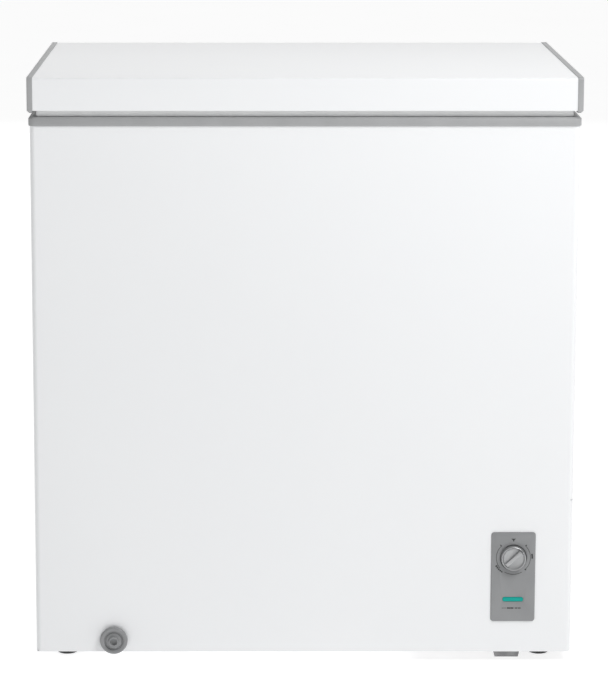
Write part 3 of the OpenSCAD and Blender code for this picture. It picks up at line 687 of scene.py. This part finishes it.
def rear_grille():
    """The cover of the compressor bay: a raised frame round ten rows of round-ended slots."""
    low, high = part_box("rear_grille")
    cover = block("bay_cover", low, high)
    pick(cover, "FACE", lambda at, way: way.y > 0.5)
    bpy.ops.mesh.inset(thickness=14 * MM)
    bpy.ops.mesh.inset(thickness=2 * MM, depth=1.2 * MM)
    soften(cover, 0.5 * MM)
    first = Vector((low.x + 24 * MM, low.y - 4 * MM, low.z + 40 * MM))
    slot = block("slot", first, first + Vector((28, 10, 7)) * MM)
    pick(slot, "EDGE", lambda at, way: abs(way.y) > 0.5)
    bpy.ops.mesh.bevel(offset=3.3 * MM, segments=4)
    deselect()
    shifts = [(38 * MM * column, 0, 16 * MM * line) for column in range(5) for line in range(10)]
    combine(cover, row(slot, shifts[1:]))
    cord = middle_of("cord_grommet")
    combine(cover, rod("opening", (cord.x, low.y - 5 * MM, cord.z), (0, 1, 0), 6 * MM, 12 * MM))
    fit(cover, "rear_grille")


def side_vent():
    """The vent in the right end: a frame with slanted blades."""
    low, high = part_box("side_vent")
    wrap_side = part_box("outer_wrap")[1].x
    border = 18 * MM
    plate = block("side_vent_grille", (wrap_side, low.y, low.z), high)
    pick(plate, "EDGE", lambda at, way: abs(way.x) > 0.5)
    bpy.ops.mesh.bevel(offset=4 * MM, segments=4)
    deselect()
    opening_low = Vector((wrap_side - 5 * MM, low.y + border, low.z + border - 4 * MM))
    opening_high = Vector((high.x + 5 * MM, high.y - border, high.z - border + 4 * MM))
    combine(plate, block("opening", opening_low, opening_high))
    soften(plate, 0.5 * MM)
    pitch = 9.5 * MM
    blade_low = Vector((high.x - 5.4 * MM, opening_low.y - 1 * MM, opening_low.z + 1 * MM))
    blade_size = Vector((5 * MM, opening_high.y - opening_low.y + 2 * MM, 1.4 * MM))
    blade = block("blade", blade_low, blade_low + blade_size)
    pick(blade, "FACE", lambda at, way: way.x < -0.5)
    bpy.ops.transform.translate(value=(0, 0, 4.6 * MM))
    deselect()
    soften(blade, 0.3 * MM)
    count = int((opening_high.z - opening_low.z - 4 * MM) / pitch)
    blades = row(blade, [(0, 0, pitch * i) for i in range(1, count)])
    fit(joined(plate, blades), "side_vent")


def foot():
    """One levelling foot, ribbed round its edge; the four are copies."""
    low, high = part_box("feet")
    radius = 15 * MM
    steps = [(13, 0), (14.6, 0.8), (15, 2), (15, 4.2), (14.2, 5), (14.2, 6), (15, 6.8), (15, 9.4),
             (14, 10.4), (12, 15)]
    one = turned("feet", (low.x + radius, low.y + radius, 0), (0, 0, 1),
                 [(r * MM, h * MM) for r, h in steps], 48)
    shifts = [(x, y, 0) for x in (0, high.x - low.x - 2 * radius) for y in (0, high.y - low.y - 2 * radius)]
    fit(row(one, shifts[1:]), "feet")


# ---------- lid ----------

def lid_sheet():
    """The painted pan with rolled front and back edges."""
    low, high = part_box("lid_pan")
    pan = block("lid_sheet", low, high)
    pick(pan, "FACE", lambda at, way: way.z < -0.5 or abs(way.x) > 0.5)
    bpy.ops.mesh.delete(type="FACE")
    pick(pan, "EDGE", lambda at, way: abs(way.x) > 0.5 and at.z > high.z - 1 * MM)
    bpy.ops.mesh.bevel(offset=3.4 * MM, segments=6)
    deselect()
    thicken(pan, 1 * MM)
    fit(pan, "lid_pan", smooth=25)


def end_caps():
    """The moulded caps at the lid's ends: a tray with a rolled edge that grips the pan."""
    low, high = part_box("lid_end_cap_right")
    wall = 0.8 * MM
    cap = block("lid_cap_right", (low.x + 2 * MM, low.y, low.z), high)
    pick(cap, "EDGE", lambda at, way: abs(way.x) > 0.5 and at.z > 0.83)
    bpy.ops.mesh.bevel(offset=3.8 * MM, segments=6)
    pick(cap, "EDGE", lambda at, way: abs(way.y) > 0.5 and at.z < low.z + 1 * MM and at.x > high.x - 1 * MM)
    bpy.ops.mesh.bevel(offset=3.4 * MM, segments=1)
    pick(cap, "FACE", lambda at, way: way.x < -0.5)
    bpy.ops.mesh.inset(thickness=wall)
    push((high.x - low.x - 6.2 * MM, 0, 0))
    deselect()
    soften(cap, 0.5 * MM, 3, 50)
    wedge = block("wedge", (low.x - 5 * MM, low.y - 10 * MM, low.z - 10 * MM),
                  (high.x + 5 * MM, low.y + 6 * MM, low.z + 3 * MM))
    pick(wedge, "VERT", lambda at, way: at.y > low.y and at.z > low.z)
    bpy.ops.transform.translate(value=(0, -6 * MM, 0))
    deselect()
    combine(cap, wedge)
    left = copied(cap, "lid_cap_left", flip=(-1, 1, 1))
    fit(cap, "lid_end_cap_right")
    fit(left, "lid_end_cap_left")


def lid_lining():
    """The moulded lining with its raised, round-edged middle and a sunk panel in it."""
    low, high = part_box("lid_liner")
    bulge_depth = 6 * MM
    flange = low.z + bulge_depth
    lining = block("lid_lining", (low.x, low.y, flange), high)
    mouth_low, mouth_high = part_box("inner_liner")
    side = 25.5 * MM
    centre = (low + high) / 2
    width = (mouth_high.x - mouth_low.x - 2 * side) / (high.x - low.x)
    depth = (mouth_high.y - mouth_low.y - 2.15 * side) / (high.y - low.y)
    pick(lining, "FACE", lambda at, way: way.z < -0.5)
    push((0, 0, 0))
    mouth_middle = (mouth_low + mouth_high) / 2
    resize((width, depth, 1), centre)
    bpy.ops.transform.translate(value=(0, mouth_middle.y - centre.y, 0))
    push((0, 0, -bulge_depth))
    resize((0.9925, 0.982, 1), (centre.x, mouth_middle.y, low.z))
    bpy.ops.mesh.inset(thickness=26 * MM)
    bpy.ops.mesh.inset(thickness=5 * MM, depth=-1.1 * MM)
    pick(lining, "EDGE", lambda at, way: abs(way.z) > 0.3 and abs(at.x) < high.x - 20 * MM)
    bpy.ops.mesh.bevel(offset=5 * MM, segments=5)
    deselect()
    soften(lining, 1.6 * MM, 3, 20)
    fit(lining, "lid_liner", smooth=50)


def lid_seal():
    """The magnetic gasket: a snap-in base, a bellows and a soft face."""
    low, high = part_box("lid_gasket")
    steps = [(1.6, 9.3), (1.6, 8.3), (0.3, 7.8), (0, 7), (0, 1.2), (0.5, 0.3), (1.5, 0), (13, 0),
             (14.6, 0.5), (16, 2.3), (16, 5.9), (14.2, 6.5), (14.2, 7.5), (16, 8.1), (16, 9.3), (1.6, 9.3)]
    profile = [(inset * MM, low.z + height * MM) for inset, height in steps]
    fit(framed("lid_seal", low, high, (3 * MM, 3 * MM), profile), "lid_gasket")


# ---------- control panel ----------

def bezel():
    """The panel's plate: a broad chamfer, a sunk ring round the knob and a pocket for the lens."""
    low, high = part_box("control_bezel")
    plate = block("control_plate", low, (high.x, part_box("outer_wrap")[0].y, high.z))
    pick(plate, "EDGE", lambda at, way: abs(way.y) > 0.5)
    bpy.ops.mesh.bevel(offset=4.5 * MM, segments=6)
    pick(plate, "FACE", lambda at, way: way.y < -0.5)
    bpy.ops.mesh.bevel(offset=2.4 * MM, segments=2)
    deselect()
    knob = middle_of("thermostat_knob")
    recess = turned("recess", (knob.x, low.y + 1.9 * MM, knob.z), (0, -1, 0),
                    [(19 * MM, 0), (19.4 * MM, 1.9 * MM), (20.6 * MM, 3.9 * MM)], 96)
    combine(plate, recess)
    combine(plate, lens_outline("pocket", 0.5 * MM, low.y - 2 * MM, low.y + 1.2 * MM))
    soften(plate, 0.15 * MM, 2, 40)
    fit(plate, "control_bezel", smooth=30)


def lens_outline(name, grow, front, back):
    """The lens's outline as a solid: round at its left end and slightly pointed at its right."""
    low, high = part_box("indicator_lens")
    shape = block(name, (low.x - grow, front, low.z - grow), (high.x + grow, back, high.z + grow))
    pick(shape, "EDGE", lambda at, way: abs(way.y) > 0.5 and at.x < (low.x + high.x) / 2)
    bpy.ops.mesh.bevel(offset=2.8 * MM + grow, segments=5)
    pick(shape, "EDGE", lambda at, way: abs(way.y) > 0.5 and at.x > high.x - 1 * MM)
    bpy.ops.mesh.bevel(offset=2.6 * MM + grow, segments=2)
    deselect()
    return shape


def lens():
    """The lamp's window, crowned along its length."""
    low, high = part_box("indicator_lens")
    window = lens_outline("lamp_window", 0, low.y + 0.3 * MM, high.y)
    pick(window, "FACE", lambda at, way: way.y < -0.5)
    bpy.ops.mesh.inset(thickness=0.8 * MM)
    bpy.ops.transform.translate(value=(0, -0.3 * MM, 0))
    deselect()
    soften(window, 0.2 * MM, 2, 20)
    fit(window, "indicator_lens", smooth=60)


def arc_mark(centre, inner, outer, start, end, front):
    """A printed arc round the knob; start and end are clockwise from the top, in degrees."""
    deselect()
    bpy.ops.mesh.primitive_circle_add(
        vertices=120, radius=inner, location=(centre.x, front, centre.z), rotation=(math.pi / 2, 0, 0))
    mark = adopt("arc")

    def outside(at, way):
        angle = math.degrees(math.atan2(at.x - centre.x, at.z - centre.z)) % 360
        return not start - 0.1 <= angle <= end + 0.1

    pick(mark, "VERT", outside)
    bpy.ops.mesh.delete(type="VERT")
    bpy.ops.mesh.select_mode(type="EDGE")
    bpy.ops.mesh.select_all(action="SELECT")
    push((0, 0, 0))
    resize([outer / inner] * 3, (centre.x, front, centre.z))
    bpy.ops.mesh.select_mode(type="FACE")
    bpy.ops.mesh.select_all(action="SELECT")
    push((0, -0.12 * MM, 0))
    tidy_normals(mark)
    return mark


def bar_mark(centre, angle, inner, outer, width, front):
    """A printed tick that points away from the knob's middle."""
    angle = math.radians(angle)
    mark = block("bar", (-width / 2, -0.12 * MM, inner), (width / 2, 0, outer))
    mark.data.transform(Matrix.Translation((centre.x, front, centre.z)) @ Matrix.Rotation(angle, 4, "Y"))
    return mark


def dial_marks():
    """Printed scale round the knob and a row of plain dashes under the lamp."""
    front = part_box("control_bezel")[0].y
    centre = middle_of("thermostat_knob")
    arcs = [(24.2, 24.9, 231, 315), (24.2, 24.9, 45, 135), (24.4, 25.1, 150, 210), (26, 28.3, 76, 95)]
    marks = [arc_mark(centre, r0 * MM, r1 * MM, a0, a1, front) for r0, r1, a0, a1 in arcs]
    ticks = [(315, 24.2, 27, 1.4), (45, 24.2, 27, 1.4), (135, 23.6, 26, 2), (0, 24.2, 26, 1.8)]
    ticks += [(218 + 6.2 * i, 25.8, 27.6 + 0.3 * i, 2.1) for i in range(5)]
    marks += [bar_mark(centre, a, r0 * MM, r1 * MM, w * MM, front) for a, r0, r1, w in ticks]
    arrow = bar_mark(centre, 0, 26 * MM, 28.2 * MM, 1.8 * MM, front)
    pick(arrow, "FACE", lambda at, way: way.z > 0.5)
    resize((3.8, 1, 1), (centre.x, front, centre.z))
    deselect()
    marks.append(arrow)
    lamp = middle_of("indicator_lens")
    dashes = [(-14.2, 1.5, 0.4), (-10.8, 1.3, 0.4), (-6, 2.3, 1), (-1.1, 2.3, 1), (5, 2, 0.75),
              (9.6, 1.9, 0.75)]
    for x, half, height in dashes:
        middle = Vector((lamp.x + x * MM, front, lamp.z - 13.1 * MM))
        size = Vector((half, 0, height)) * MM
        marks.append(block("dash", middle - size + Vector((0, -0.12 * MM, 0)), middle + size))
    add_on(joined(marks[0], *marks[1:]), "control_bezel", PRINTED).name = "dial_marks"


def knob():
    """The thermostat's knob: a dished face crossed by a flat grip bar that points up and right."""
    low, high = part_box("thermostat_knob")
    centre = Vector(((low.x + high.x) / 2, high.y, (low.z + high.z) / 2))
    radius = (high.x - low.x) / 2 / MM
    steps = [(radius, 0), (radius, 1.2), (radius - 0.2, 1.6), (radius - 0.3, 6), (radius - 0.6, 6.8),
             (radius - 1.2, 7.2), (radius - 2, 7), (radius - 2.8, 6), (radius - 3.8, 4.8),
             (radius - 7, 4.1), (1, 3.9)]
    body = turned("knob", centre, (0, -1, 0), [(r * MM, h * MM) for r, h in steps], 96)
    bar = block("bar", (-3.6 * MM, 0, -(radius - 2) * MM), (3.6 * MM, 9.6 * MM, (radius - 2) * MM))
    pick(bar, "FACE", lambda at, way: way.y > 0.5)
    resize((0.72, 1, 0.9), (0, 9.6 * MM, 0))
    pick(bar, "VERT", lambda at, way: at.y > 5 * MM and at.z < 0)
    bpy.ops.transform.translate(value=(0, -3 * MM, 0))
    deselect()
    soften(bar, 0.5 * MM)
    turn = Matrix.Rotation(math.radians(45), 4, "Y") @ Matrix.Diagonal((1, -1, 1, 1))
    bar.data.transform(Matrix.Translation(centre + Vector((0, -1.2 * MM, 0))) @ turn)
    bar.data.flip_normals()
    combine(body, bar, "UNION")
    fit(body, "thermostat_knob", finish=KNOB_PAINT)


# ---------- drain ----------

def drain_cap():
    """The cap over the drain: the stem in the outlet, a rolled rim, a sunk ring and a hollow boss."""
    low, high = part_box("drain_cap")
    cap_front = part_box("drain_outlet")[0].y
    centre = Vector(((low.x + high.x) / 2, cap_front - 0.3 * MM, (low.z + high.z) / 2))
    steps = [(7, -24), (7.8, -23.2), (7.8, 2), (17, 2), (17.2, 0), (19, 0), (19.7, 0.6), (19.9, 1.6),
             (19.9, 4.6), (19.4, 5.9), (18.4, 6.6), (14.6, 6.6), (14, 6.2), (13.6, 4.4), (13, 4),
             (12, 4), (11.4, 4.6), (11, 5.6), (9.2, 6), (8.2, 6), (7.6, 6.4), (7.2, 11.2), (6.6, 12.1),
             (5.4, 12.1), (4.9, 11.4), (4.5, 8), (3.8, 7.6), (0.6, 7.6)]
    cap = turned("drain_cap_turned", centre, (0, -1, 0), [(r * MM, h * MM) for r, h in steps], 96)
    fit(cap, "drain_cap")


def drain_flange():
    """The flange of the drain's outlet behind the cap."""
    low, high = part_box("drain_outlet")
    centre = Vector(((low.x + high.x) / 2, high.y, (low.z + high.z) / 2))
    length = (high.y - low.y) / MM
    steps = [(10, 0), (12, 0), (12, length - 1.4), (17, length - 1.4), (17, length - 0.4), (16.6, length),
             (10.6, length), (10, length - 0.6), (10, 0)]
    flange = framed_round("drain_flange", centre, (0, -1, 0), steps)
    fit(flange, "drain_outlet")


def framed_round(name, base, toward, steps, sides=64):
    """A turned ring: an open circle pushed and resized through (radius, height) steps in
    millimetres, and the last step closes on the first."""
    deselect()
    base, toward = Vector(base), Vector(toward)
    radius, height = steps[0]
    bpy.ops.mesh.primitive_circle_add(
        vertices=sides, radius=radius * MM, location=base + toward * height * MM, rotation=facing(toward))
    piece = adopt(name)
    bpy.ops.object.mode_set(mode="EDIT")
    bpy.ops.mesh.select_mode(type="EDGE")
    bpy.ops.mesh.select_all(action="SELECT")
    for next_radius, next_height in steps[1:]:
        push(toward * (next_height - height) * MM)
        resize([next_radius / radius] * 3, base + toward * next_height * MM)
        radius, height = next_radius, next_height
    tidy_normals(piece)
    return piece


def drain_plug():
    """The plug in the tub's floor with its pull tab."""
    low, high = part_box("drain_plug")
    centre = Vector(((low.x + high.x) / 2, (low.y + high.y) / 2, low.z))
    steps = [(6.6, 0), (7.7, 1.2), (7.7, 13.8), (7.2, 14.2), (12.6, 14.2), (13, 14.8), (13, 16.6),
             (12.2, 17.8), (9, 18.3), (1, 18.4)]
    plug = turned("floor_plug", centre, (0, 0, 1), [(r * MM, h * MM) for r, h in steps], 48)
    tab = block("tab", (centre.x - 1.5 * MM, centre.y - 7 * MM, high.z - 11 * MM),
                (centre.x + 1.5 * MM, centre.y + 7 * MM, high.z))
    pick(tab, "EDGE", lambda at, way: abs(way.x) > 0.5 and at.z > high.z - 1 * MM)
    bpy.ops.mesh.bevel(offset=5 * MM, segments=6)
    deselect()
    finger_hole = Vector((centre.x - 5 * MM, centre.y, high.z - 5 * MM))
    combine(tab, rod("opening", finger_hole, (1, 0, 0), 2.2 * MM, 10 * MM, 24))
    combine(plug, tab, "UNION")
    soften(plug, 0.3 * MM, 2, 50)
    fit(plug, "drain_plug")


# ---------- hinge covers ----------

def hinge_covers():
    """The moulded boots over the hinges' springs, open at the top and towards the back plate."""
    low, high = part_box("hinge_cover_right")
    boot = block("hinge_boot_right", low, high)
    pick(boot, "FACE", lambda at, way: way.z > 0.5 or way.y < -0.5)
    bpy.ops.mesh.delete(type="FACE")
    pick(boot, "EDGE", lambda at, way: at.y > high.y - 1 * MM and at.z < high.z - 1 * MM)
    bpy.ops.mesh.bevel(offset=5 * MM, segments=5)
    pick(boot, "FACE", lambda at, way: way.y > 0.99)
    bpy.ops.mesh.inset(thickness=4 * MM)
    bpy.ops.mesh.inset(thickness=0.8 * MM, depth=-0.8 * MM)
    deselect()
    thicken(boot, 1.5 * MM)
    soften(boot, 0.3 * MM, 2, 50)
    left = copied(boot, "hinge_boot_left", flip=(-1, 1, 1))
    fit(boot, "hinge_cover_right")
    fit(left, "hinge_cover_left")


# ---------- basket ----------

def wire_basket():
    """The hanging basket: crossed wire hoops, three belts, a stout rim and a handle at each end."""
    low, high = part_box("basket")
    hook = 5.2 * MM
    x0, x1 = low.x + 2 * MM, high.x - 2 * MM
    y0, y1 = low.y + 27 * MM, high.y - 27 * MM
    bottom, top = low.z + 2 * MM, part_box("top_rim")[0].z + 6 * MM - 3 * MM
    wire_r = 1.6 * MM
    hoop_x = x0 + 14 * MM
    hoop = bent_wire("hoop", [(hoop_x, y0, top), (hoop_x, y0, bottom), (hoop_x, y1, bottom),
                              (hoop_x, y1, top)], wire_r, 12 * MM)
    count = 7
    pitch = (x1 - x0 - 28 * MM) / (count - 1)
    hoops = row(hoop, [(pitch * i, 0, 0) for i in range(1, count)])
    cross_y = y0 + 20 * MM
    floor = bottom + 2 * wire_r
    cross = bent_wire("cross", [(x0, cross_y, top), (x0, cross_y, floor), (x1, cross_y, floor),
                                (x1, cross_y, top)], wire_r, 12 * MM)
    count = 14
    pitch = (y1 - y0 - 40 * MM) / (count - 1)
    crosses = row(cross, [(0, pitch * i, 0) for i in range(1, count)])
    belt_drop = 64 * MM
    belt = framed_wire("belt", (x0, y0), (x1, y1), top - belt_drop, wire_r)
    belts = row(belt, [(0, 0, -belt_drop), (0, 0, -2 * belt_drop)])
    edge = framed_wire("edge", (x0, y0), (x1, y1), top, 2.6 * MM)
    left, right = x0 + 28 * MM, x1 - 28 * MM
    lift = high.z - hook / 2
    inner, outer = y0 - 4.6 * MM, low.y + 2.6 * MM
    handle = bent_wire("handle", [(left, inner, top - belt_drop), (left, inner, lift), (left, outer, lift),
                                  (right, outer, lift), (right, inner, lift),
                                  (right, inner, top - belt_drop)], 2.6 * MM, 6 * MM, 10)
    other = copied(handle, "handle_back", (0, y0 + y1, 0), (1, -1, 1))
    fit(joined(hoops, crosses, belts, edge, handle, other), "basket", smooth=60).name = "wire_basket"


def framed_wire(name, low, high, height, radius, sides=8):
    """A closed belt of round wire with bent corners."""
    angles = [2 * math.pi * i / sides for i in range(sides + 1)]
    steps = [(radius * (1 - math.cos(a)), height + radius * math.sin(a)) for a in angles]
    return framed(name, (low[0] - radius, low[1] - radius, 0), (high[0] + radius, high[1] + radius, 0),
                  (12 * MM, 12 * MM), steps)


cabinet_wrap()
rim()
tub()
back_plate()
rear_grille()
side_vent()
foot()
lid_sheet()
end_caps()
lid_lining()
lid_seal()
bezel()
lens()
dial_marks()
knob()
drain_cap()
drain_flange()
drain_plug()
hinge_covers()
wire_basket()
deselect()
